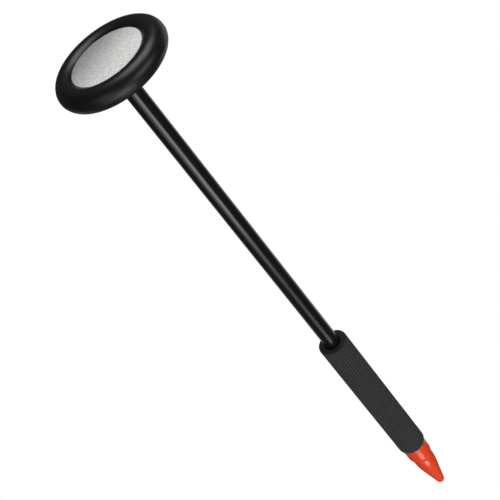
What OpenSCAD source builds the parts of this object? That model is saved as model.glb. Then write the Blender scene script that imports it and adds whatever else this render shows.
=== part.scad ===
// Disc-headed reflex hammer: a rubber-ringed metal head square on the end of a slim shaft,
// with a foam grip and a blunt pointed tip at the other end.
// It stands on its head. +Z runs from the head to the tip, and Z = 0 is the front of the ring.

/* [Rubber ring] */
// Diameter of the rubber's round section
ring_section_d = 10.3; // [9:0.1:13]
// Diameter of the circle along the middle of the rubber
ring_middle_d = 41.2; // [38:0.2:60]
// Depth of the flat that the ring's front stands on
ring_flat_depth = 0.05; // [0.02:0.01:0.2]
// Gap between the rubber and the groove in the metal
ring_gap = 0.02; // [0.01:0.01:0.05]

/* [Head discs] */
// How far the metal face lies behind the front of the ring
face_recess = 1.65; // [1:0.05:2.2]
// How far the head's back lies inside the back of the ring
back_recess = 1.65; // [1:0.05:2.2]
// Width of the flat left at each disc's rim, beside the rubber
rim_flat = 0.15; // [0.1:0.05:0.4]
// Diameter of the spigot that centres the two discs
spigot_d = 11; // [9:0.5:13]
// Height of that spigot
spigot_h = 1.2; // [0.8:0.1:1.6]
// Gap round the spigot
spigot_gap = 0.03; // [0.02:0.01:0.1]

/* [Hub] */
// Thickness of the hub round the shaft, at its foot
hub_foot_wall = 3.5; // [2.5:0.1:4]
// Thickness of the hub round the shaft, at its top
hub_top_wall = 2; // [1.5:0.1:2.5]
// Height of the hub above the disc
hub_h = 9.4; // [8:0.1:14]
// Radius of the fillet at the foot of the hub
hub_fillet_r = 1.5; // [0.5:0.1:2]
// Radius of the rounding round the top of the hub
hub_round_r = 0.8; // [0.3:0.1:1]
// Depth of the socket that the shaft stands in
socket_depth = 4.5; // [3:0.1:5.5]
// Running gap between the shaft and its socket, on the radius
socket_gap = 0.06; // [0.03:0.01:0.1]

/* [Head screws] */
// Number of screws that clamp the two discs
screw_count = 3; // [3:1:6]
// Diameter of a screw's thread
screw_d = 2.5; // [2:0.1:3]
// Diameter of a screw's countersunk head
screw_head_d = 4.7; // [4:0.1:5]
// Height of the straight edge of a screw's head
screw_head_edge = 0.25; // [0.15:0.05:0.4]
// Depth of a screw's head below the disc's back
screw_sink = 0.1; // [0.05:0.05:0.2]
// Metal left between a screw hole and the face
face_skin = 1; // [0.8:0.1:1.3]
// Room below a screw's end
screw_end_room = 0.3; // [0.1:0.1:0.5]
// Gap round a screw, on the radius
screw_gap = 0.02; // [0.01:0.01:0.05]
// Width of a slot of the cross in a screw's head
cross_w = 0.6; // [0.4:0.1:0.8]
// Length of a slot of the cross
cross_l = 2.6; // [2:0.1:3]
// Depth of the cross
cross_depth = 1; // [0.6:0.1:1.1]

/* [Shaft] */
// Diameter of the shaft
shaft_d = 8; // [7:0.1:10]
// Wall of the shaft's tube
shaft_wall = 1; // [0.8:0.1:1.2]
// Length of the shaft
shaft_length = 285; // [220:1:360]
// Width of the small chamfers at the shaft's ends
shaft_chamfer = 0.3; // [0.1:0.1:0.5]

/* [Head stud] */
// Diameter of the stud that the head screws on
stud_d = 4; // [3:0.1:5]
// Room between the stud's end and the face disc's spigot
stud_end_room = 0.9; // [0.4:0.1:1.5]
// Running gap between the stud and the head's thread, on the radius
stud_gap = 0.05; // [0.03:0.01:0.1]
// Length of the stud that is fixed in the shaft
stud_fixed_l = 13; // [10:0.5:15]
// Length of the chamfer at each end of the stud
stud_chamfer = 0.4; // [0.2:0.1:0.6]
// Length of the plug that holds the stud, beyond the stud's end
insert_end_l = 5; // [2:0.5:10]
// Gap round the pieces that are fixed in the shaft, on the radius
fixed_gap = 0.02; // [0.01:0.01:0.05]

/* [Lock washer] */
// Thickness of the washer
washer_t = 0.8; // [0.6:0.1:1.2]
// How far the washer's edge lies inside the shaft's
washer_inset = 0.5; // [0.3:0.1:0.6]
// Gap between the washer and the stud, on the radius
washer_gap = 0.15; // [0.1:0.05:0.3]
// Width of the split in the washer
washer_split = 0.5; // [0.3:0.1:0.8]
// Angle that the split leans at
washer_split_lean = 25; // [0:5:35]

/* [Grip] */
// Thickness of the foam round the shaft
grip_wall = 3.6; // [2.8:0.1:6]
// Length of the foam grip
grip_length = 94; // [60:1:140]
// Gap round the shaft in the grip's open mouth, on the radius
grip_mouth_gap = 0.35; // [0.2:0.05:0.8]
// Depth of that mouth
grip_mouth_depth = 4; // [2:0.5:8]
// Radius of the rounding at the grip's mouth
grip_mouth_round_r = 0.4; // [0.2:0.1:2]
// Radius of the rounding at the grip's tip end
grip_end_round_r = 1.5; // [0.5:0.1:2]
// How much the foam is stretched over the shaft, on the radius
grip_squeeze = 0.1; // [0.05:0.01:0.3]

/* [Tip] */
// Thickness of the collar round the end of the shaft
collar_wall = 2.6; // [2:0.1:3.5]
// Length of the shaft that the collar covers
collar_cover = 8.3; // [5:0.1:12]
// Length of the collar beyond the shaft's end
collar_web = 3.7; // [2:0.1:6]
// Radius of the long rounding of the collar's end
collar_round_r = 6; // [4:0.5:6]
// Length of that rounding
collar_round_l = 3.4; // [2:0.1:3.8]
// How far the point's side lies inside the collar's
point_step = 0.9; // [0.8:0.1:1.2]
// Length of the point outside the collar
point_length = 28; // [24:0.5:36]
// Slope of the point's side, in degrees
point_slope = 10; // [8:0.5:10]
// Radius of the rounded end of the point
point_end_r = 2.27; // [1.6:0.01:2.6]
// Radius that blends the point's straight part into its taper
point_blend_r = 40; // [20:1:60]
// Radius of the rounding round the point's shoulder
shoulder_round_r = 0.6; // [0.3:0.1:0.8]
// Length of the plug on the point
plug_length = 14; // [10:0.5:20]
// Running gap between the plug and the shaft's bore, on the radius
plug_gap = 0.05; // [0.03:0.01:0.1]
// Length of the lead-in at the plug's end
plug_lead = 0.8; // [0.4:0.1:1.2]

/* [Hidden] */
$fn = 96;
arc_steps = 12;
clear = 1;

// Ring and discs
ring_r = ring_section_d / 2;
ring_z = ring_r - ring_flat_depth;
groove_r = ring_r + ring_gap;
face_z = face_recess;
joint_z = ring_z;
back_z = ring_z + ring_r - back_recess;
face_rim_r = groove_inner_r(joint_z - face_z) - rim_flat;
back_rim_r = groove_inner_r(back_z - joint_z) - rim_flat;
spigot_top_z = joint_z + spigot_h;

// Stack along the axis
hub_top_z = back_z + hub_h;
socket_floor_z = hub_top_z - socket_depth;
shaft_start_z = socket_floor_z + washer_t;
shaft_end_z = shaft_start_z + shaft_length;
grip_end_z = shaft_end_z - collar_cover;
grip_start_z = grip_end_z - grip_length;
collar_end_z = shaft_end_z + collar_web;
tip_z = collar_end_z + point_length;

// Shaft and what is fixed in it
shaft_r = shaft_d / 2;
bore_r = shaft_r - shaft_wall;
socket_r = shaft_r + socket_gap;
stud_r = stud_d / 2;
stud_start_z = spigot_top_z + stud_end_room;
stud_end_z = shaft_start_z + stud_fixed_l;

// Hub, and the screws midway between its foot and the groove
hub_foot_r = shaft_r + hub_foot_wall;
hub_top_r = shaft_r + hub_top_wall;
screw_circle_r = (hub_foot_r + hub_fillet_r + groove_inner_r(0)) / 2;
screw_cone_h = (screw_head_d - screw_d) / 2;
screw_top_z = back_z - screw_sink;
screw_hole_z = face_z + face_skin;
screw_end_z = screw_hole_z + screw_end_room;

// Radius at which the groove's wall lies, a height dz away from the middle of the ring
function groove_inner_r(dz) = ring_middle_d / 2 - sqrt(groove_r * groove_r - dz * dz);

// Points along an arc, from angle a0 to angle a1
function arc(cx, cy, r, a0, a1) = [
    for (i = [0:arc_steps])
        let (a = a0 + (a1 - a0) * i / arc_steps)
        [cx + r * cos(a), cy + r * sin(a)]
];

module buffer_ring() {
    color("#1b1b1c")
        difference() {
            translate([0, 0, ring_z])
                rotate_extrude()
                    translate([ring_middle_d / 2, 0])
                        circle(r = ring_r);
            translate([0, 0, -ring_r])
                cylinder(r = ring_middle_d / 2 + ring_r, h = ring_r);
        }
}

// Half of the head's metal, with its half of the groove turned into the rim
module half_disc(rim_r, low_z, high_z) {
    rotate_extrude()
        difference() {
            translate([0, low_z])
                square([rim_r, high_z - low_z]);
            translate([ring_middle_d / 2, ring_z])
                circle(r = groove_r);
        }
}

module at_screws() {
    for (i = [0:screw_count - 1])
        rotate([0, 0, i * 360 / screw_count])
            translate([screw_circle_r, 0, 0])
                children();
}

// The outline of a screw, or of the hole it sits in when it is given a gap and ends of its own
module screw_form(gap, end_z, top_z) {
    cone_top_z = screw_top_z - screw_head_edge;
    translate([0, 0, end_z])
        cylinder(d = screw_d + 2 * gap, h = top_z - end_z);
    translate([0, 0, cone_top_z - screw_cone_h])
        cylinder(d1 = screw_d + 2 * gap, d2 = screw_head_d + 2 * gap, h = screw_cone_h);
    translate([0, 0, cone_top_z])
        cylinder(d = screw_head_d + 2 * gap, h = top_z - cone_top_z);
}

module face_disc() {
    color("#b9bab8")
        difference() {
            union() {
                half_disc(face_rim_r, face_z, joint_z);
                translate([0, 0, face_z])
                    cylinder(d = spigot_d, h = spigot_top_z - face_z);
            }
            at_screws()
                translate([0, 0, screw_hole_z])
                    cylinder(d = screw_d + 2 * screw_gap, h = joint_z + clear - screw_hole_z);
        }
}

module hub() {
    rotate_extrude()
        polygon(concat(
            [[0, joint_z], [hub_foot_r + hub_fillet_r, joint_z]],
            arc(hub_foot_r + hub_fillet_r, back_z + hub_fillet_r, hub_fillet_r, 270, 180),
            arc(hub_top_r - hub_round_r, hub_top_z - hub_round_r, hub_round_r, 0, 90),
            [[0, hub_top_z]]
        ));
}

module back_disc() {
    color("#aeafad")
        difference() {
            union() {
                half_disc(back_rim_r, joint_z, back_z);
                hub();
            }
            translate([0, 0, joint_z - clear])
                cylinder(r = spigot_d / 2 + spigot_gap, h = spigot_h + spigot_gap + clear);
            translate([0, 0, joint_z])
                cylinder(r = stud_r + stud_gap, h = hub_top_z - joint_z);
            translate([0, 0, socket_floor_z])
                cylinder(r = socket_r, h = socket_depth + clear);
            at_screws()
                screw_form(screw_gap, joint_z - clear, back_z + clear);
        }
}

module head_screws() {
    color("#c6c8ca")
        at_screws()
            difference() {
                screw_form(0, screw_end_z, screw_top_z);
                for (turn = [0, 90])
                    rotate([0, 0, turn])
                        translate([-cross_l / 2, -cross_w / 2, screw_top_z - cross_depth])
                            cube([cross_l, cross_w, cross_depth + clear]);
            }
}

module lock_washer() {
    washer_r = shaft_r - washer_inset;
    color("#9a9c9e")
        translate([0, 0, socket_floor_z])
            difference() {
                cylinder(r = washer_r, h = washer_t);
                translate([0, 0, -clear])
                    cylinder(r = stud_r + washer_gap, h = washer_t + 2 * clear);
                translate([0, 0, washer_t / 2])
                    rotate([washer_split_lean, 0, 0])
                        translate([0, -washer_split / 2, -washer_r])
                            cube([2 * washer_r, washer_split, 2 * washer_r]);
            }
}

module head_stud() {
    thin_r = stud_r - stud_chamfer;
    color("#a8aaac")
        rotate_extrude()
            polygon([
                [0, stud_start_z],
                [thin_r, stud_start_z],
                [stud_r, stud_start_z + stud_chamfer],
                [stud_r, stud_end_z - stud_chamfer],
                [thin_r, stud_end_z],
                [0, stud_end_z]
            ]);
}

module stud_insert() {
    color("#b8975a")
        translate([0, 0, shaft_start_z])
            difference() {
                cylinder(r = bore_r - fixed_gap, h = stud_fixed_l + insert_end_l);
                translate([0, 0, -clear])
                    cylinder(r = stud_r + fixed_gap, h = stud_fixed_l + fixed_gap + clear);
            }
}

module shaft_tube() {
    color("#101011")
        rotate_extrude()
            polygon([
                [bore_r, shaft_start_z],
                [shaft_r - shaft_chamfer, shaft_start_z],
                [shaft_r, shaft_start_z + shaft_chamfer],
                [shaft_r, shaft_end_z - shaft_chamfer],
                [shaft_r - shaft_chamfer, shaft_end_z],
                [bore_r, shaft_end_z]
            ]);
}

module foam_grip() {
    r = shaft_r + grip_wall;
    hole_r = shaft_r - grip_squeeze;
    mouth_r = shaft_r + grip_mouth_gap;
    color("#343435")
        rotate_extrude()
            polygon(concat(
                [[mouth_r, grip_start_z]],
                arc(r - grip_mouth_round_r, grip_start_z + grip_mouth_round_r, grip_mouth_round_r, -90, 0),
                arc(r - grip_end_round_r, grip_end_z - grip_end_round_r, grip_end_round_r, 0, 90),
                [[hole_r, grip_end_z]],
                [[hole_r, grip_start_z + grip_mouth_depth]],
                [[mouth_r, grip_start_z + grip_mouth_depth]]
            ));
}

module tip_collar() {
    r = shaft_r + collar_wall;
    round_a = asin(collar_round_l / collar_round_r);
    round_z = collar_end_z - collar_round_l;
    color("#dd421c")
        difference() {
            rotate_extrude()
                polygon(concat(
                    [[0, grip_end_z], [r, grip_end_z]],
                    arc(r - collar_round_r, round_z, collar_round_r, 0, round_a),
                    [[0, collar_end_z]]
                ));
            translate([0, 0, grip_end_z - clear])
                cylinder(r = shaft_r + fixed_gap, h = collar_cover + fixed_gap + clear);
            translate([0, 0, grip_end_z])
                cylinder(r = bore_r, h = collar_cover + collar_web + clear);
        }
}

module tip_point() {
    r = shaft_r + collar_wall - point_step;
    plug_r = bore_r - plug_gap;
    plug_start_z = collar_end_z - plug_length;
    end_z = tip_z - point_end_r;
    cone_r = point_end_r / cos(point_slope);
    corner_z = end_z - (r - cone_r) / tan(point_slope);
    blend_z = corner_z - point_blend_r * tan(point_slope / 2);
    color("#dd421c")
        rotate_extrude()
            polygon(concat(
                [[0, plug_start_z], [plug_r - plug_lead / 2, plug_start_z]],
                [[plug_r, plug_start_z + plug_lead], [plug_r, collar_end_z]],
                arc(r - shoulder_round_r, collar_end_z + shoulder_round_r, shoulder_round_r, -90, 0),
                arc(r - point_blend_r, blend_z, point_blend_r, 0, point_slope),
                arc(0, end_z, point_end_r, point_slope, 90)
            ));
}

buffer_ring();
face_disc();
back_disc();
head_screws();
lock_washer();
head_stud();
stud_insert();
shaft_tube();
foam_grip();
tip_collar();
tip_point();
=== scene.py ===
"""Disc-headed reflex hammer: the looks of the packed model.

The packed frame gives every place and size. The operators below make the pieces that need
more than the frame's own shape (such as the rubber ring, the foam grip and the threaded stud),
finish every surface, and set the camera, the lights and the floor.
"""

import math

import bmesh
import bpy
from bpy.props import FloatProperty, FloatVectorProperty, IntProperty, PointerProperty
from mathutils import Matrix, Vector


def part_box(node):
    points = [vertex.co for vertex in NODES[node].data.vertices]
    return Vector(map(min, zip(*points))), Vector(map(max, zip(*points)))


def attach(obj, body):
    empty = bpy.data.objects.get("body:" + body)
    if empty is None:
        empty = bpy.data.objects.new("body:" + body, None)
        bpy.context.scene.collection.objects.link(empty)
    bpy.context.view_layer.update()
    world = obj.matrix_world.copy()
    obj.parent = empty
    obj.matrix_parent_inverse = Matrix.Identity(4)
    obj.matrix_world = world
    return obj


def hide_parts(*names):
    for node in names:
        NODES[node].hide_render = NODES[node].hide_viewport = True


bl_info = {
    "name": "Reflex Hammer",
    "version": (1, 0, 0),
    "blender": (4, 5, 0),
    "location": "View3D > Sidebar > Reflex Hammer",
    "description": "Dresses the frame of a disc-headed reflex hammer with its pieces and finishes",
    "category": "Object",
}

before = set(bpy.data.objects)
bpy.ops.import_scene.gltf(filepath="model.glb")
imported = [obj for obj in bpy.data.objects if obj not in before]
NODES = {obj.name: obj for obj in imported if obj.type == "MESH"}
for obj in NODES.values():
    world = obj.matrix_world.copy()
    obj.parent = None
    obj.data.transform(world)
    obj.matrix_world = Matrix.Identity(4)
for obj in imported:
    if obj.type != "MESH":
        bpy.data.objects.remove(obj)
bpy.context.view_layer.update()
MM = 0.001

# Sizes that the frame settles
RING_LOW, RING_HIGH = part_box("buffer_ring")
FACE_LOW, FACE_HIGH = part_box("face_disc")
GRIP_LOW, GRIP_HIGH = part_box("foam_grip")
STUD_LOW, STUD_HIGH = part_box("head_stud")
SHAFT_LOW, SHAFT_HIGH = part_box("shaft_tube")
INSERT_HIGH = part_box("stud_insert")[1]
COLLAR_LOW, COLLAR_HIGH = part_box("tip_collar")
POINT_LOW, POINT_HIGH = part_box("tip_point")
SHAFT_R = SHAFT_HIGH.x
RIM_R = FACE_HIGH.x
FIXED_GAP = 0.02 * MM
BORE_R = INSERT_HIGH.x + FIXED_GAP

# Steps round the turned pieces
TUBE_STEPS = 128
TIP_STEPS = 144
STEPS_PER_RIB = 12
FLOOR_STEPS = 96

# Painted shade: the discs' metal is painted darker along this direction, between these shares of the
# rim's radius
PAINTED_SHADE_WAY = (0.42, 0.91)
PAINTED_SHADE_FROM, PAINTED_SHADE_TO = -0.65, 1.25
PAINTED_SHADE_FACTOR = 0.42

THREAD_SMOOTH_ANGLE = math.radians(80)
SENSOR_WIDTH = 36


# ---------------------------------------------------------------- sizes and colours


class RingSettings(bpy.types.PropertyGroup):
    """The rubber ring"""

    flat: FloatProperty(
        name="Flat", description="Depth of the flat that the front stands on",
        default=0.05 * MM, unit="LENGTH", precision=6,
    )
    seam_angle: FloatProperty(
        name="Seam Angle", description="Angle of the mould seam behind the ring's widest line",
        default=math.radians(9), subtype="ANGLE",
    )
    seam_height: FloatProperty(
        name="Seam Height", description="Height of the mould seam above the rubber",
        default=0.05 * MM, unit="LENGTH", precision=6,
    )
    seam_width: FloatProperty(
        name="Seam Width", description="Width of the mould seam",
        default=0.22 * MM, unit="LENGTH", precision=6,
    )
    turns: IntProperty(name="Steps Round", description="Steps round the ring", default=256, min=32)
    section_points: IntProperty(
        name="Section Points", description="Points round the rubber's section", default=72, min=16,
    )
    colour: FloatVectorProperty(
        name="Rubber", description="Colour of the rubber", subtype="COLOR",
        default=(0.0040, 0.0040, 0.0042),
    )


class DiscSettings(bpy.types.PropertyGroup):
    """The metal discs and their fixings"""

    colour: FloatVectorProperty(
        name="Metal", description="Colour of the blasted metal", subtype="COLOR",
        default=(0.96, 0.96, 0.95),
    )
    steel: FloatVectorProperty(
        name="Steel", description="Colour of the screws, the washer and the stud", subtype="COLOR",
        default=(0.56, 0.57, 0.58),
    )
    brass: FloatVectorProperty(
        name="Brass", description="Colour of the insert in the shaft", subtype="COLOR",
        default=(0.70, 0.50, 0.22),
    )
    thread_pitch: FloatProperty(
        name="Thread Pitch", description="Pitch of the stud's thread",
        default=0.7 * MM, unit="LENGTH", precision=5,
    )
    thread_depth: FloatProperty(
        name="Thread Depth", description="Depth of the stud's thread",
        default=0.38 * MM, unit="LENGTH", precision=5,
    )


class GripSettings(bpy.types.PropertyGroup):
    """The foam grip"""

    ribs: IntProperty(name="Ribs", description="Number of lengthwise ribs", default=30, min=3)
    rib_depth: FloatProperty(
        name="Rib Depth", description="Depth of the grooves between the ribs",
        default=0.42 * MM, unit="LENGTH", precision=5,
    )
    rib_turn: FloatProperty(
        name="Rib Turn", description="Angle that the ribs are turned by",
        default=math.radians(8), subtype="ANGLE",
    )
    mouth_gap: FloatProperty(
        name="Mouth Gap", description="Gap round the shaft in the grip's mouth",
        default=0.35 * MM, unit="LENGTH", precision=5,
    )
    mouth_depth: FloatProperty(
        name="Mouth Depth", description="Depth of the grip's mouth", default=4 * MM, unit="LENGTH",
    )
    mouth_round: FloatProperty(
        name="Mouth Rounding", description="Rounding at the mouth", default=0.4 * MM, unit="LENGTH",
    )
    end_round: FloatProperty(
        name="End Rounding", description="Rounding at the tip end", default=1.5 * MM, unit="LENGTH",
    )
    colour: FloatVectorProperty(
        name="Foam", description="Colour of the foam", subtype="COLOR",
        default=(0.0122, 0.0122, 0.0127),
    )


class ShaftSettings(bpy.types.PropertyGroup):
    """The shaft"""

    end_round: FloatProperty(
        name="End Rounding", description="Rounding round the tube's ends",
        default=0.3 * MM, unit="LENGTH", precision=5,
    )
    colour: FloatVectorProperty(
        name="Black", description="Colour of the shaft's paint", subtype="COLOR",
        default=(0.0040, 0.0040, 0.0043),
    )


class TipSettings(bpy.types.PropertyGroup):
    """The collar and the point"""

    edge: FloatProperty(
        name="Edge", description="Rounding of the collar's edges",
        default=0.25 * MM, unit="LENGTH", precision=5,
    )
    round_r: FloatProperty(
        name="Collar Rounding", description="Radius of the collar's long rounding",
        default=6.0 * MM, unit="LENGTH",
    )
    round_l: FloatProperty(
        name="Rounding Length", description="Length of the collar's long rounding",
        default=3.4 * MM, unit="LENGTH",
    )
    shoulder: FloatProperty(
        name="Shoulder", description="Rounding of the point's shoulder",
        default=0.6 * MM, unit="LENGTH", precision=5,
    )
    slope: FloatProperty(
        name="Slope", description="Slope of the point's side",
        default=math.radians(10), subtype="ANGLE",
    )
    blend_r: FloatProperty(
        name="Blend Radius", description="Radius that blends the point's straight part into its taper",
        default=40 * MM, unit="LENGTH",
    )
    end_r: FloatProperty(
        name="End Radius", description="Radius of the point's blunt end",
        default=2.27 * MM, unit="LENGTH", precision=5,
    )
    plug_gap: FloatProperty(
        name="Plug Gap", description="Gap between the plug and the shaft's bore",
        default=0.05 * MM, unit="LENGTH", precision=5,
    )
    colour: FloatVectorProperty(
        name="Plastic", description="Colour of the tip's plastic", subtype="COLOR",
        default=(0.76, 0.052, 0.011),
    )


class StageSettings(bpy.types.PropertyGroup):
    """The camera, the lights and the floor"""

    lens: FloatProperty(
        name="Lens", description="Focal length", default=87.94, subtype="DISTANCE_CAMERA",
    )
    camera_at: FloatVectorProperty(
        name="Camera", description="Place of the camera", subtype="TRANSLATION",
        default=(0, -0.4383, -0.2155),
    )
    camera_up: FloatVectorProperty(
        name="Camera Up", description="Direction of the picture's top",
        subtype="DIRECTION", default=(-0.62104, 0.48015, -0.61953),
    )
    camera_back: FloatVectorProperty(
        name="Camera Back", description="Direction from what is seen to the camera",
        subtype="DIRECTION", default=(-0.00598, -0.79334, -0.60880),
    )
    floor_gap: FloatProperty(
        name="Floor Gap", description="Distance from the ring's front down to the floor",
        default=0.1 * MM, unit="LENGTH", precision=5,
    )
    floor_r: FloatProperty(
        name="Floor Radius", description="Radius of the floor", default=6.0, unit="LENGTH",
    )
    floor_glow: FloatProperty(
        name="Floor Glow", description="Brightness of the floor where no light falls on it",
        default=0.55,
    )
    floor_share: FloatProperty(
        name="Floor Share", description="Share of the floor's light that reaches the object",
        default=0.35,
    )
    clear_near: FloatProperty(
        name="Clear Near", description="Distance within which the object's reflections miss the floor",
        default=0.08, unit="LENGTH",
    )
    backdrop: FloatProperty(name="Backdrop", description="Brightness of the backdrop", default=1.0)
    fill: FloatProperty(
        name="Fill", description="Brightness of the light from all sides", default=0.07,
    )


# ---------------------------------------------------------------- mesh helpers


def mesh_piece(name, bm, body, material, sharp=math.radians(40)):
    """Ends a bmesh as an object that rides on a body and takes a material slot's finish."""
    bmesh.ops.remove_doubles(bm, verts=bm.verts, dist=0.0005 * MM)
    bmesh.ops.recalc_face_normals(bm, faces=bm.faces)
    mesh = bpy.data.meshes.new(name)
    bm.to_mesh(mesh)
    bm.free()
    mesh.shade_smooth()
    mesh.set_sharp_from_angle(angle=sharp)
    mesh.materials.append(material)
    piece = bpy.data.objects.new(name, mesh)
    bpy.context.scene.collection.objects.link(piece)
    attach(piece, body)
    return piece


def outline(bm, points, closed):
    """Wire in the XZ plane through (radius, height) points."""
    verts = [bm.verts.new((r, 0, z)) for r, z in points]
    edges = [bm.edges.new(pair) for pair in zip(verts, verts[1:])]
    if closed:
        edges.append(bm.edges.new((verts[-1], verts[0])))
    return verts, edges


def turn(bm, points, steps, closed=True):
    """Spins an outline all the way round the Z axis."""
    verts, edges = outline(bm, points, closed)
    bmesh.ops.spin(
        bm, geom=verts + edges, cent=(0, 0, 0), axis=(0, 0, 1),
        angle=math.tau, steps=steps, use_merge=True, use_duplicate=False,
    )


def arc_points(centre_r, centre_z, radius, start, end, count):
    """(radius, height) points along an arc; angles in degrees, from outwards towards +Z."""
    angles = [math.radians(start + (end - start) * i / (count - 1)) for i in range(count)]
    return [(centre_r + radius * math.cos(a), centre_z + radius * math.sin(a)) for a in angles]


# ---------------------------------------------------------------- shader helpers


class Value:
    """A socket that carries a number, so that shader maths reads as Python."""

    def __init__(self, tree, socket):
        self.tree = tree
        self.socket = socket

    def _math(self, operation, *inputs):
        node = self.tree.nodes.new("ShaderNodeMath")
        node.operation = operation
        for slot, given in zip(node.inputs, inputs):
            if isinstance(given, Value):
                self.tree.links.new(given.socket, slot)
            else:
                slot.default_value = given
        return Value(self.tree, node.outputs[0])

    def __add__(self, other):
        return self._math("ADD", self, other)

    __radd__ = __add__

    def __mul__(self, other):
        return self._math("MULTIPLY", self, other)

    def __sub__(self, other):
        return self._math("SUBTRACT", self, other)

    def __rsub__(self, other):
        return self._math("SUBTRACT", other, self)

    def __gt__(self, other):
        return self._math("GREATER_THAN", self, other)

    def __lt__(self, other):
        return self._math("LESS_THAN", self, other)

    def between(self, low, high):
        """0 below low, 1 above high and a smooth rise between them."""
        node = self.tree.nodes.new("ShaderNodeMapRange")
        node.interpolation_type = "SMOOTHSTEP"
        self.tree.links.new(self.socket, node.inputs["Value"])
        node.inputs["From Min"].default_value = low
        node.inputs["From Max"].default_value = high
        return Value(self.tree, node.outputs["Result"])

    def root(self):
        return self._math("SQRT", self)


class Finish:
    """A material under construction: one Principled shader and the nodes that feed it."""

    def __init__(self, name, **constants):
        self.material = bpy.data.materials.new(name)
        self.material.use_nodes = True
        self.tree = self.material.node_tree
        self.shader = self.tree.nodes["Principled BSDF"]
        for socket, value in constants.items():
            self.shader.inputs[socket.replace("_", " ")].default_value = value
        self.place = self.node("ShaderNodeTexCoord")["Object"]
        self.x, self.y, self.z = self.split(self.place)

    def node(self, kind, settings=None, **inputs):
        """A node of this kind; settings are set first, then the values or links of its sockets."""
        node = self.tree.nodes.new(kind)
        for key, value in (settings or {}).items():
            setattr(node, key, value)
        for key, given in inputs.items():
            socket = node.inputs[key.replace("_", " ")]
            source = given.socket if isinstance(given, Value) else given
            if isinstance(source, bpy.types.NodeSocket):
                self.tree.links.new(source, socket)
            else:
                socket.default_value = source
        return node.outputs

    def split(self, vector):
        parts = self.node("ShaderNodeSeparateXYZ", Vector=vector)
        return [Value(self.tree, parts[axis]) for axis in "XYZ"]

    def stretched(self, scale):
        """Object coordinates, multiplied by a scale along each axis."""
        return self.node("ShaderNodeMapping", Vector=self.place, Scale=scale)["Vector"]

    def noise(self, size, detail=2.0, roughness=0.5, vector=None):
        """Smooth noise whose features are about this size, from 0 to 1."""
        out = self.node(
            "ShaderNodeTexNoise", Vector=vector or self.place, Scale=1 / size,
            Detail=detail, Roughness=roughness,
        )
        return Value(self.tree, out["Fac"])

    def cells(self, size):
        """Distance to the nearest of scattered points, about one cell of this size apart."""
        out = self.node("ShaderNodeTexVoronoi", Vector=self.place, Scale=1 / size)
        return Value(self.tree, out["Distance"])

    def blend(self, factor, low, high):
        """A colour between two others."""
        node = self.tree.nodes.new("ShaderNodeMix")
        node.data_type = "RGBA"
        self.tree.links.new(factor.socket, node.inputs["Factor"])
        for socket, given in ((node.inputs[6], low), (node.inputs[7], high)):
            if isinstance(given, bpy.types.NodeSocket):
                self.tree.links.new(given, socket)
            else:
                socket.default_value = (*given, 1)
        return node.outputs[2]

    def scaled(self, colour, factor):
        """A colour socket, lighter or darker by a factor."""
        out = self.node("ShaderNodeVectorMath", {"operation": "SCALE"}, Vector=colour, Scale=factor)
        return out["Vector"]

    def feed(self, socket, source):
        source = source.socket if isinstance(source, Value) else source
        self.tree.links.new(source, self.shader.inputs[socket])

    def bump(self, *layers):
        """Bump from (height, distance in metres) layers, one on the other."""
        normal = None
        for height, distance in layers:
            inputs = {"Height": height, "Distance": distance}
            if normal:
                inputs["Normal"] = normal
            normal = self.node("ShaderNodeBump", **inputs)["Normal"]
        self.feed("Normal", normal)


def shade(colour, factor):
    """A colour, lighter or darker by a factor."""
    return tuple(min(1.0, c * factor) for c in colour)


# ---------------------------------------------------------------- finishes


def rubber_finish(colour):
    """Satin moulded rubber: a faint orange peel, handling bloom and a few specks of dust."""
    f = Finish("ring_rubber", IOR=1.50, Specular_IOR_Level=0.32)
    bloom = f.noise(9 * MM, 3)
    grain = f.noise(0.45 * MM, 3)
    speck = f.noise(0.35 * MM, 1).between(0.76, 0.80)
    base = f.blend(bloom, shade(colour, 0.85), shade(colour, 1.25))
    f.feed("Base Color", f.blend(speck * 0.3, base, (0.04, 0.04, 0.038)))
    f.feed("Roughness", 0.32 + bloom * 0.10 + speck * 0.2)
    f.bump((grain, 0.010 * MM), (f.noise(3 * MM, 2), 0.05 * MM))
    return f.material


def disc_finish(colour):
    """Blasted metal: a fine dimpled grain, cloudy patches, dark pits, a smoother rim painted lighter
    as a highlight, and painted shade that darkens one side.
    """
    f = Finish("disc_metal", Metallic=1.0)
    cloud = f.noise(5 * MM, 4, 0.6)
    grain = f.noise(0.60 * MM, 4, 0.75)
    pit = f.noise(0.42 * MM, 2).between(0.62, 0.72)
    tone = f.blend(grain.between(0.42, 0.58), shade(colour, 0.72), shade(colour, 1.04))
    tone = f.blend(cloud.between(0.25, 0.75) * 0.25, tone, shade(colour, 0.86))
    tone = f.blend(pit * 0.6, tone, shade(colour, 0.45))
    on_front = f.z < (FACE_LOW.z + 0.5 * MM)

    radius = (f.x * f.x + f.y * f.y).root()
    # The front rim is smoother, and its colour is painted lighter all round as a painted highlight of
    # the edge
    rim = radius.between(RIM_R - 0.6 * MM, RIM_R - 0.3 * MM) * on_front
    tone = f.blend(rim * 0.5, tone, shade(colour, 1.04))
    # Painted shade: both discs, front and back, are painted darker towards one side
    far = f.x * PAINTED_SHADE_WAY[0] + f.y * PAINTED_SHADE_WAY[1]
    tone = f.blend(far.between(PAINTED_SHADE_FROM * RIM_R, PAINTED_SHADE_TO * RIM_R), tone, f.scaled(tone, PAINTED_SHADE_FACTOR))
    f.feed("Base Color", tone)
    f.feed("Roughness", 0.60 + grain * 0.16 - rim * 0.12)
    f.bump((grain, 0.035 * MM), (pit * -1, 0.02 * MM))
    return f.material


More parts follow.
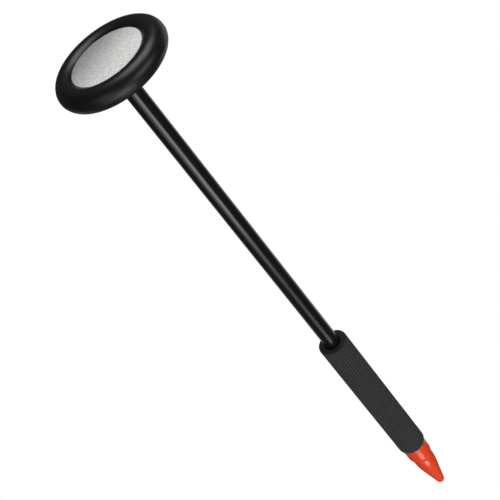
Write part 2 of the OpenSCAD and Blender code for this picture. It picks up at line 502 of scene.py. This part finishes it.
def steel_finish(name, colour):
    """Turned bright metal: rings from the lathe, light stains and small scratches."""
    f = Finish(name, Metallic=1.0)
    rings = f.noise(0.08 * MM, 2, vector=f.stretched((0.08, 0.08, 1)))
    stain = f.noise(2.5 * MM, 3)
    f.feed("Base Color", f.blend(stain, shade(colour, 0.86), shade(colour, 1.06)))
    f.feed("Roughness", 0.24 + rings * 0.14 + stain * 0.08)
    f.bump((rings, 0.006 * MM))
    return f.material


def paint_finish(colour):
    """Gloss black paint on the tube: orange peel, faint lengthwise rubs and dust."""
    f = Finish("shaft_black", IOR=1.50, Specular_IOR_Level=0.45)
    peel = f.noise(1.6 * MM, 2)
    rub = f.noise(0.25 * MM, 3, vector=f.stretched((1, 1, 0.02)))
    smear = f.noise(16 * MM, 3)
    speck = f.noise(0.30 * MM, 1).between(0.78, 0.81)
    base = f.blend(smear, shade(colour, 0.8), shade(colour, 1.3))
    f.feed("Base Color", f.blend(speck * 0.4, base, (0.06, 0.06, 0.058)))
    f.feed("Roughness", 0.18 + rub.between(0.5, 0.8) * 0.10 + smear * 0.06)
    f.bump((peel, 0.010 * MM), (rub, 0.0025 * MM))
    return f.material


def foam_finish(colour):
    """Closed-cell foam: fine open cells at the skin, soft mottling, pale lengthwise streaks, rib
    crests painted lighter as a highlight, and the mouth's end face painted darker as shade.
    """
    f = Finish("grip_foam", IOR=1.45, Specular_IOR_Level=0.30, Sheen_Weight=0.03, Sheen_Roughness=0.6)
    cell = f.cells(0.22 * MM)
    mottle = f.noise(2.2 * MM, 4, 0.6)
    streak = f.noise(0.5 * MM, 3, vector=f.stretched((1, 1, 0.03)))
    # Painted highlight: the crests of the ribs are painted lighter, together with random pale
    # lengthwise streaks
    crest_highlight = (f.x * f.x + f.y * f.y).root().between(GRIP_HIGH.x - 0.30 * MM, GRIP_HIGH.x - 0.05 * MM)
    tone = f.blend(cell.between(0.05, 0.45), shade(colour, 0.80), shade(colour, 1.05))
    tone = f.blend(mottle.between(0.3, 0.7) * 0.3, tone, shade(colour, 1.25))
    tone = f.blend(crest_highlight * 0.6 + streak.between(0.45, 0.75) * 0.3, tone, shade(colour, 2.2))
    # Painted shade: the end face at the grip's mouth is painted darker
    mouth_shade = f.z.between(GRIP_LOW.z + 0.45 * MM, GRIP_LOW.z + 0.15 * MM)
    tone = f.blend(mouth_shade * 0.8, tone, shade(colour, 0.35))
    f.feed("Base Color", tone)
    f.feed("Roughness", 0.66 + cell * 0.15)
    f.bump((cell, 0.015 * MM), (mottle, 0.05 * MM))
    return f.material


def plastic_finish(colour):
    """Gloss moulded plastic: slight sink, fine scuffs that thicken towards the blunt end."""
    f = Finish("tip_plastic", IOR=1.49)
    sink = f.noise(4 * MM, 2)
    scuff = f.noise(0.20 * MM, 3, vector=f.stretched((1, 1, 0.12))).between(0.60, 0.74)
    worn = f.z.between(POINT_HIGH.z - 6 * MM, POINT_HIGH.z)
    base = f.blend(sink, shade(colour, 0.92), shade(colour, 1.06))
    f.feed("Base Color", f.blend(scuff * worn * 0.10, base, (0.90, 0.16, 0.07)))
    f.feed("Roughness", 0.21 + sink * 0.04 + scuff * worn * 0.12)
    f.bump((sink, 0.004 * MM), (scuff * worn, 0.002 * MM))
    return f.material


def dress(node_name, material):
    """Gives a node of the frame a better finish in place of its plain one."""
    NODES[node_name].material_slots[0].material = material


# ---------------------------------------------------------------- pieces


class REFLEX_OT_buffer_ring(bpy.types.Operator):
    """Makes the rubber ring, with its flat front and its mould seam"""

    bl_idname = "reflex.buffer_ring"
    bl_label = "Buffer Ring"

    def execute(self, context):
        s = context.scene.reflex_ring
        section_r = (RING_HIGH.z - RING_LOW.z + s.flat) / 2
        middle_r = RING_HIGH.x - section_r
        middle_z = RING_LOW.z - s.flat + section_r
        half_seam = s.seam_width / 2 / section_r

        flat_half = math.degrees(math.acos(1 - s.flat / section_r))
        seam = math.degrees(s.seam_angle)
        seam_half = math.degrees(half_seam)
        steps = s.section_points
        front = arc_points(
            middle_r, middle_z, section_r, -90 + flat_half, seam - seam_half, steps // 3,
        )
        ridge_r = section_r + s.seam_height
        ridge_half = seam_half * 0.3
        ridge = arc_points(middle_r, middle_z, ridge_r, seam - ridge_half, seam + ridge_half, 3)
        behind = arc_points(
            middle_r, middle_z, section_r, seam + seam_half, 270 - flat_half, steps - steps // 3,
        )
        bm = bmesh.new()
        turn(bm, front + ridge + behind, s.turns)
        piece = mesh_piece("rubber_ring", bm, "head", rubber_finish(tuple(s.colour)))
        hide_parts("buffer_ring")
        return {"FINISHED"}


class REFLEX_OT_head_metal(bpy.types.Operator):
    """Finishes the two discs, the screws, the washer and the insert"""

    bl_idname = "reflex.head_metal"
    bl_label = "Head Metal"

    def execute(self, context):
        s = context.scene.reflex_disc
        disc = disc_finish(tuple(s.colour))
        steel = steel_finish("screw_steel", tuple(s.steel))
        for name in ("face_disc", "back_disc"):
            dress(name, disc)
        for name in ("head_screws", "lock_washer"):
            dress(name, steel)
        dress("stud_insert", steel_finish("insert_brass", tuple(s.brass)))
        return {"FINISHED"}


class REFLEX_OT_stud(bpy.types.Operator):
    """Makes the stud, with the thread that the head screws on"""

    bl_idname = "reflex.stud"
    bl_label = "Threaded Stud"

    def execute(self, context):
        s = context.scene.reflex_disc
        radius = STUD_HIGH.x
        low, high = STUD_LOW.z, STUD_HIGH.z
        per_pitch, around = 10, 48
        rows = round((high - low) / s.thread_pitch * per_pitch)
        side = [(radius, low + (high - low) * i / rows) for i in range(rows + 1)]
        bm = bmesh.new()
        turn(bm, [(0, low)] + side + [(0, high)], around, closed=False)
        for v in bm.verts:
            if v.co.xy.length < radius / 2:
                continue
            turns = v.co.z / s.thread_pitch - math.atan2(v.co.y, v.co.x) / math.tau
            valley = abs(2 * (turns % 1.0) - 1)
            run_out = min(v.co.z - low, high - v.co.z)
            chamfer = max(0.0, s.thread_depth - run_out)
            depth = max(chamfer, s.thread_depth * min(1.0, max(0.0, 1.35 * valley - 0.2)))
            v.co.xy *= (radius - depth) / radius
        piece = mesh_piece(
            "stud_thread", bm, "shaft", bpy.data.materials["screw_steel"],
            THREAD_SMOOTH_ANGLE,
        )
        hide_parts("head_stud")
        return {"FINISHED"}


class REFLEX_OT_shaft(bpy.types.Operator):
    """Makes the painted tube, with its softened ends"""

    bl_idname = "reflex.shaft"
    bl_label = "Shaft"

    def execute(self, context):
        s = context.scene.reflex_shaft
        low, high, end = SHAFT_LOW.z, SHAFT_HIGH.z, s.end_round
        near = arc_points(SHAFT_R - end, low + end, end, -90, 0, 5)
        far = arc_points(SHAFT_R - end, high - end, end, 0, 90, 5)
        bm = bmesh.new()
        turn(bm, [(BORE_R, low)] + near + far + [(BORE_R, high)], TUBE_STEPS)
        piece = mesh_piece("painted_tube", bm, "shaft", paint_finish(tuple(s.colour)))
        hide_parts("shaft_tube")
        return {"FINISHED"}


class REFLEX_OT_grip(bpy.types.Operator):
    """Makes the ribbed foam grip, with its open mouth and its rounded ends"""

    bl_idname = "reflex.grip"
    bl_label = "Foam Grip"

    def execute(self, context):
        s = context.scene.reflex_grip
        low, high, outer_r = GRIP_LOW.z, GRIP_HIGH.z, GRIP_HIGH.x
        mouth_r = SHAFT_R + s.mouth_gap
        lip = 0.25 * MM
        mouth = arc_points(mouth_r + lip, low + lip, lip, 180, 270, 4)
        near = arc_points(outer_r - s.mouth_round, low + s.mouth_round, s.mouth_round, -90, 0, 9)
        rows = 24
        first, last = low + s.mouth_round, high - s.end_round
        wall = [(outer_r, first + (last - first) * i / rows) for i in range(1, rows)]
        far = arc_points(outer_r - s.end_round, high - s.end_round, s.end_round, 0, 90, 11)
        inside = [(SHAFT_R, high), (SHAFT_R, low + s.mouth_depth), (mouth_r, low + s.mouth_depth)]
        bm = bmesh.new()
        turn(bm, mouth + near + wall + far + inside, s.ribs * STEPS_PER_RIB)
        for v in bm.verts:
            radius = v.co.xy.length
            rim = outer_r - 2 * s.end_round
            if radius < rim:
                continue
            share = min(1.0, (radius - rim) / (2 * s.end_round))
            rib = abs(math.sin((math.atan2(v.co.y, v.co.x) - s.rib_turn) * s.ribs / 2))
            groove = (1 - rib) ** 1.6
            v.co.xy *= (radius - s.rib_depth * groove * share) / radius
        piece = mesh_piece("ribbed_foam", bm, "shaft", foam_finish(tuple(s.colour)))
        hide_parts("foam_grip")
        return {"FINISHED"}


class REFLEX_OT_collar(bpy.types.Operator):
    """Makes the collar that is fixed round the end of the shaft"""

    bl_idname = "reflex.collar"
    bl_label = "Collar"

    def execute(self, context):
        s = context.scene.reflex_tip
        low, high, outer_r = COLLAR_LOW.z, COLLAR_HIGH.z, COLLAR_HIGH.x
        seat_r = SHAFT_R + FIXED_GAP
        round_a = math.degrees(math.asin(s.round_l / s.round_r))
        near = arc_points(outer_r - s.edge, low + s.edge, s.edge, -90, 0, 5)
        end = arc_points(outer_r - s.round_r, high - s.round_l, s.round_r, 0, round_a, 16)
        seat_z = SHAFT_HIGH.z + FIXED_GAP
        inside = [(BORE_R, high), (BORE_R, seat_z), (seat_r, seat_z)]
        bm = bmesh.new()
        turn(bm, [(seat_r, low)] + near + end + inside, TIP_STEPS)
        piece = mesh_piece("orange_collar", bm, "shaft", plastic_finish(tuple(s.colour)))
        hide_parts("tip_collar")
        return {"FINISHED"}


class REFLEX_OT_point(bpy.types.Operator):
    """Makes the blunt point, with the plug that holds it in the shaft"""

    bl_idname = "reflex.point"
    bl_label = "Point"

    def execute(self, context):
        s = context.scene.reflex_tip
        outer_r, shoulder_z = POINT_HIGH.x, COLLAR_HIGH.z
        plug_r = BORE_R - s.plug_gap
        end_z = POINT_HIGH.z - s.end_r
        taper_r = s.end_r / math.cos(s.slope)
        corner_z = end_z - (outer_r - taper_r) / math.tan(s.slope)
        blend_z = corner_z - s.blend_r * math.tan(s.slope / 2)
        slope = math.degrees(s.slope)
        low = POINT_LOW.z
        plug = [(0, low)] + arc_points(plug_r - s.edge, low + s.edge, s.edge, -90, 0, 5)
        shoulder = arc_points(outer_r - s.shoulder, shoulder_z + s.shoulder, s.shoulder, -90, 0, 8)
        blend = arc_points(outer_r - s.blend_r, blend_z, s.blend_r, 0, slope, 16)
        end = arc_points(0, end_z, s.end_r, slope, 90, 14)
        bm = bmesh.new()
        turn(bm, plug + [(plug_r, shoulder_z)] + shoulder + blend + end, TIP_STEPS, closed=False)
        plastic = bpy.data.materials["tip_plastic"]
        piece = mesh_piece("orange_point", bm, "point", plastic)
        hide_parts("tip_point")
        return {"FINISHED"}


# ---------------------------------------------------------------- stage


def soft_light(name, azimuth, elevation, distance, width, height, brightness, aim=(0, 0, 0.12)):
    """A soft box that faces a point. Azimuth 0 is the -Y side and grows towards +X."""
    a, e = math.radians(azimuth), math.radians(elevation)
    toward = Vector((math.cos(e) * math.sin(a), -math.cos(e) * math.cos(a), math.sin(e)))
    data = bpy.data.lights.new(name, "AREA")
    data.shape = "RECTANGLE"
    data.size, data.size_y = width, height
    data.energy = brightness * math.pi * width * height
    light = bpy.data.objects.new(name, data)
    light.location = Vector(aim) + toward * distance
    light.rotation_mode = "QUATERNION"
    light.rotation_quaternion = toward.to_track_quat("Z", "Y")
    light.visible_camera = False
    bpy.context.scene.collection.objects.link(light)
    return light


def room(fill, backdrop):
    """A white backdrop for the camera, and a dim even light on everything else."""
    world = bpy.data.worlds.new("room")
    world.use_nodes = True
    tree = world.node_tree
    tree.nodes.clear()
    path = tree.nodes.new("ShaderNodeLightPath")
    mix = tree.nodes.new("ShaderNodeMixShader")
    out = tree.nodes.new("ShaderNodeOutputWorld")
    for index, strength in ((1, fill), (2, backdrop)):
        shell = tree.nodes.new("ShaderNodeBackground")
        shell.inputs["Color"].default_value = (1, 1, 1, 1)
        shell.inputs["Strength"].default_value = strength
        tree.links.new(shell.outputs[0], mix.inputs[index])
    tree.links.new(path.outputs["Is Camera Ray"], mix.inputs[0])
    tree.links.new(mix.outputs[0], out.inputs["Surface"])
    bpy.context.scene.world = world


def floor_finish(glow, share, clear_near):
    """Pale matte floor that is clear from below, clear to lights, and clear to what touches it."""
    f = Finish("floor_pale", IOR=1.3, Emission_Strength=glow, Emission_Color=(1, 1, 1, 1))
    tone = f.noise(0.25, 3)
    f.feed("Base Color", f.blend(tone, (0.34, 0.34, 0.34), (0.38, 0.38, 0.38)))
    f.feed("Roughness", 0.85 + tone * 0.1)
    path = f.node("ShaderNodeLightPath")
    direct, shadow, length = [
        Value(f.tree, path[name]) for name in ("Is Camera Ray", "Is Shadow Ray", "Ray Length")
    ]
    above = 1 - Value(f.tree, f.node("ShaderNodeNewGeometry")["Backfacing"])
    seen = above * (direct + (1 - direct) * (1 - shadow) * (length > clear_near) * share)
    mix = f.tree.nodes.new("ShaderNodeMixShader")
    f.tree.links.new(seen.socket, mix.inputs[0])
    f.tree.links.new(f.node("ShaderNodeBsdfTransparent")["BSDF"], mix.inputs[1])
    f.tree.links.new(f.shader.outputs["BSDF"], mix.inputs[2])
    f.tree.links.new(mix.outputs[0], f.tree.nodes["Material Output"].inputs["Surface"])
    return f.material


class REFLEX_OT_stage(bpy.types.Operator):
    """Sets the camera, the soft lights, the backdrop and the pale floor"""

    bl_idname = "reflex.stage"
    bl_label = "Stage"

    def execute(self, context):
        s = context.scene.reflex_stage
        camera_data = bpy.data.cameras.new("camera")
        camera_data.lens = s.lens
        camera_data.sensor_width = SENSOR_WIDTH
        camera_data.clip_start, camera_data.clip_end = 0.01, 50
        camera = bpy.data.objects.new("camera", camera_data)
        up, back = Vector(s.camera_up).normalized(), Vector(s.camera_back).normalized()
        right = up.cross(back)
        turn_to = Matrix((right, back.cross(right), back)).transposed().to_4x4()
        camera.matrix_world = Matrix.Translation(Vector(s.camera_at)) @ turn_to
        context.scene.collection.objects.link(camera)
        context.scene.camera = camera

        head = (0, 0, 0.006)
        soft_light("top_box", 0, 88, 1.40, 1.00, 1.00, 0.12)
        soft_light("key_box", 12, 36, 0.95, 0.50, 0.50, 0.86)
        soft_light("key_low", 12, 24, 0.95, 0.50, 0.42, 3.4, aim=(0, 0, 0.03))
        soft_light("tip_box", 8, 49, 0.90, 0.36, 0.17, 5.5, aim=(0, 0, 0.295))
        soft_light("front_wall", 24, 12, 2.40, 2.50, 2.10, 1.1)
        soft_light("front_low", -35, -12, 2.40, 2.20, 1.20, 2.7)
        soft_light("under_box", -112, -68, 0.60, 0.46, 0.46, 5.2, aim=head)
        soft_light("side_low", 45, -22, 2.40, 1.20, 1.00, 1.6)
        soft_light("back_left", -135, 25, 1.10, 0.90, 1.20, 0.60)
        soft_light("back_right", 140, 38, 1.10, 0.60, 0.60, 0.30)

        bm = bmesh.new()
        bmesh.ops.create_circle(bm, cap_ends=True, segments=FLOOR_STEPS, radius=s.floor_r)
        bmesh.ops.translate(bm, verts=bm.verts, vec=(0, 0, -s.floor_gap))
        mesh = bpy.data.meshes.new("floor")
        bm.to_mesh(mesh)
        bm.free()
        mesh.materials.append(floor_finish(s.floor_glow, s.floor_share, s.clear_near))
        floor = bpy.data.objects.new("floor", mesh)
        context.scene.collection.objects.link(floor)
        room(s.fill, s.backdrop)
        context.scene.view_settings.view_transform = "Standard"
        return {"FINISHED"}


# ---------------------------------------------------------------- panel and registration


STEPS = ("stage", "buffer_ring", "head_metal", "stud", "shaft", "grip", "collar", "point")


class REFLEX_PT_panel(bpy.types.Panel):
    """Lists the settings and the operators"""

    bl_label = "Reflex Hammer"
    bl_idname = "REFLEX_PT_panel"
    bl_space_type = "VIEW_3D"
    bl_region_type = "UI"
    bl_category = "Reflex Hammer"

    def draw(self, context):
        for name in GROUPS:
            box = self.layout.box()
            group = getattr(context.scene, name)
            box.label(text=group.__doc__ or name)
            for key in group.__annotations__:
                box.prop(group, key)
        for step in STEPS:
            self.layout.operator(f"reflex.{step}")


GROUPS = {
    "reflex_ring": RingSettings,
    "reflex_disc": DiscSettings,
    "reflex_grip": GripSettings,
    "reflex_shaft": ShaftSettings,
    "reflex_tip": TipSettings,
    "reflex_stage": StageSettings,
}

CLASSES = (
    *GROUPS.values(),
    REFLEX_OT_buffer_ring,
    REFLEX_OT_head_metal,
    REFLEX_OT_stud,
    REFLEX_OT_shaft,
    REFLEX_OT_grip,
    REFLEX_OT_collar,
    REFLEX_OT_point,
    REFLEX_OT_stage,
    REFLEX_PT_panel,
)


def register():
    for cls in CLASSES:
        bpy.utils.register_class(cls)
    for name, group in GROUPS.items():
        setattr(bpy.types.Scene, name, PointerProperty(type=group))


def unregister():
    for name in GROUPS:
        delattr(bpy.types.Scene, name)
    for cls in reversed(CLASSES):
        bpy.utils.unregister_class(cls)


def main():
    register()
    for step in STEPS:
        getattr(bpy.ops.reflex, step)()


if __name__ == "__main__":
    main()
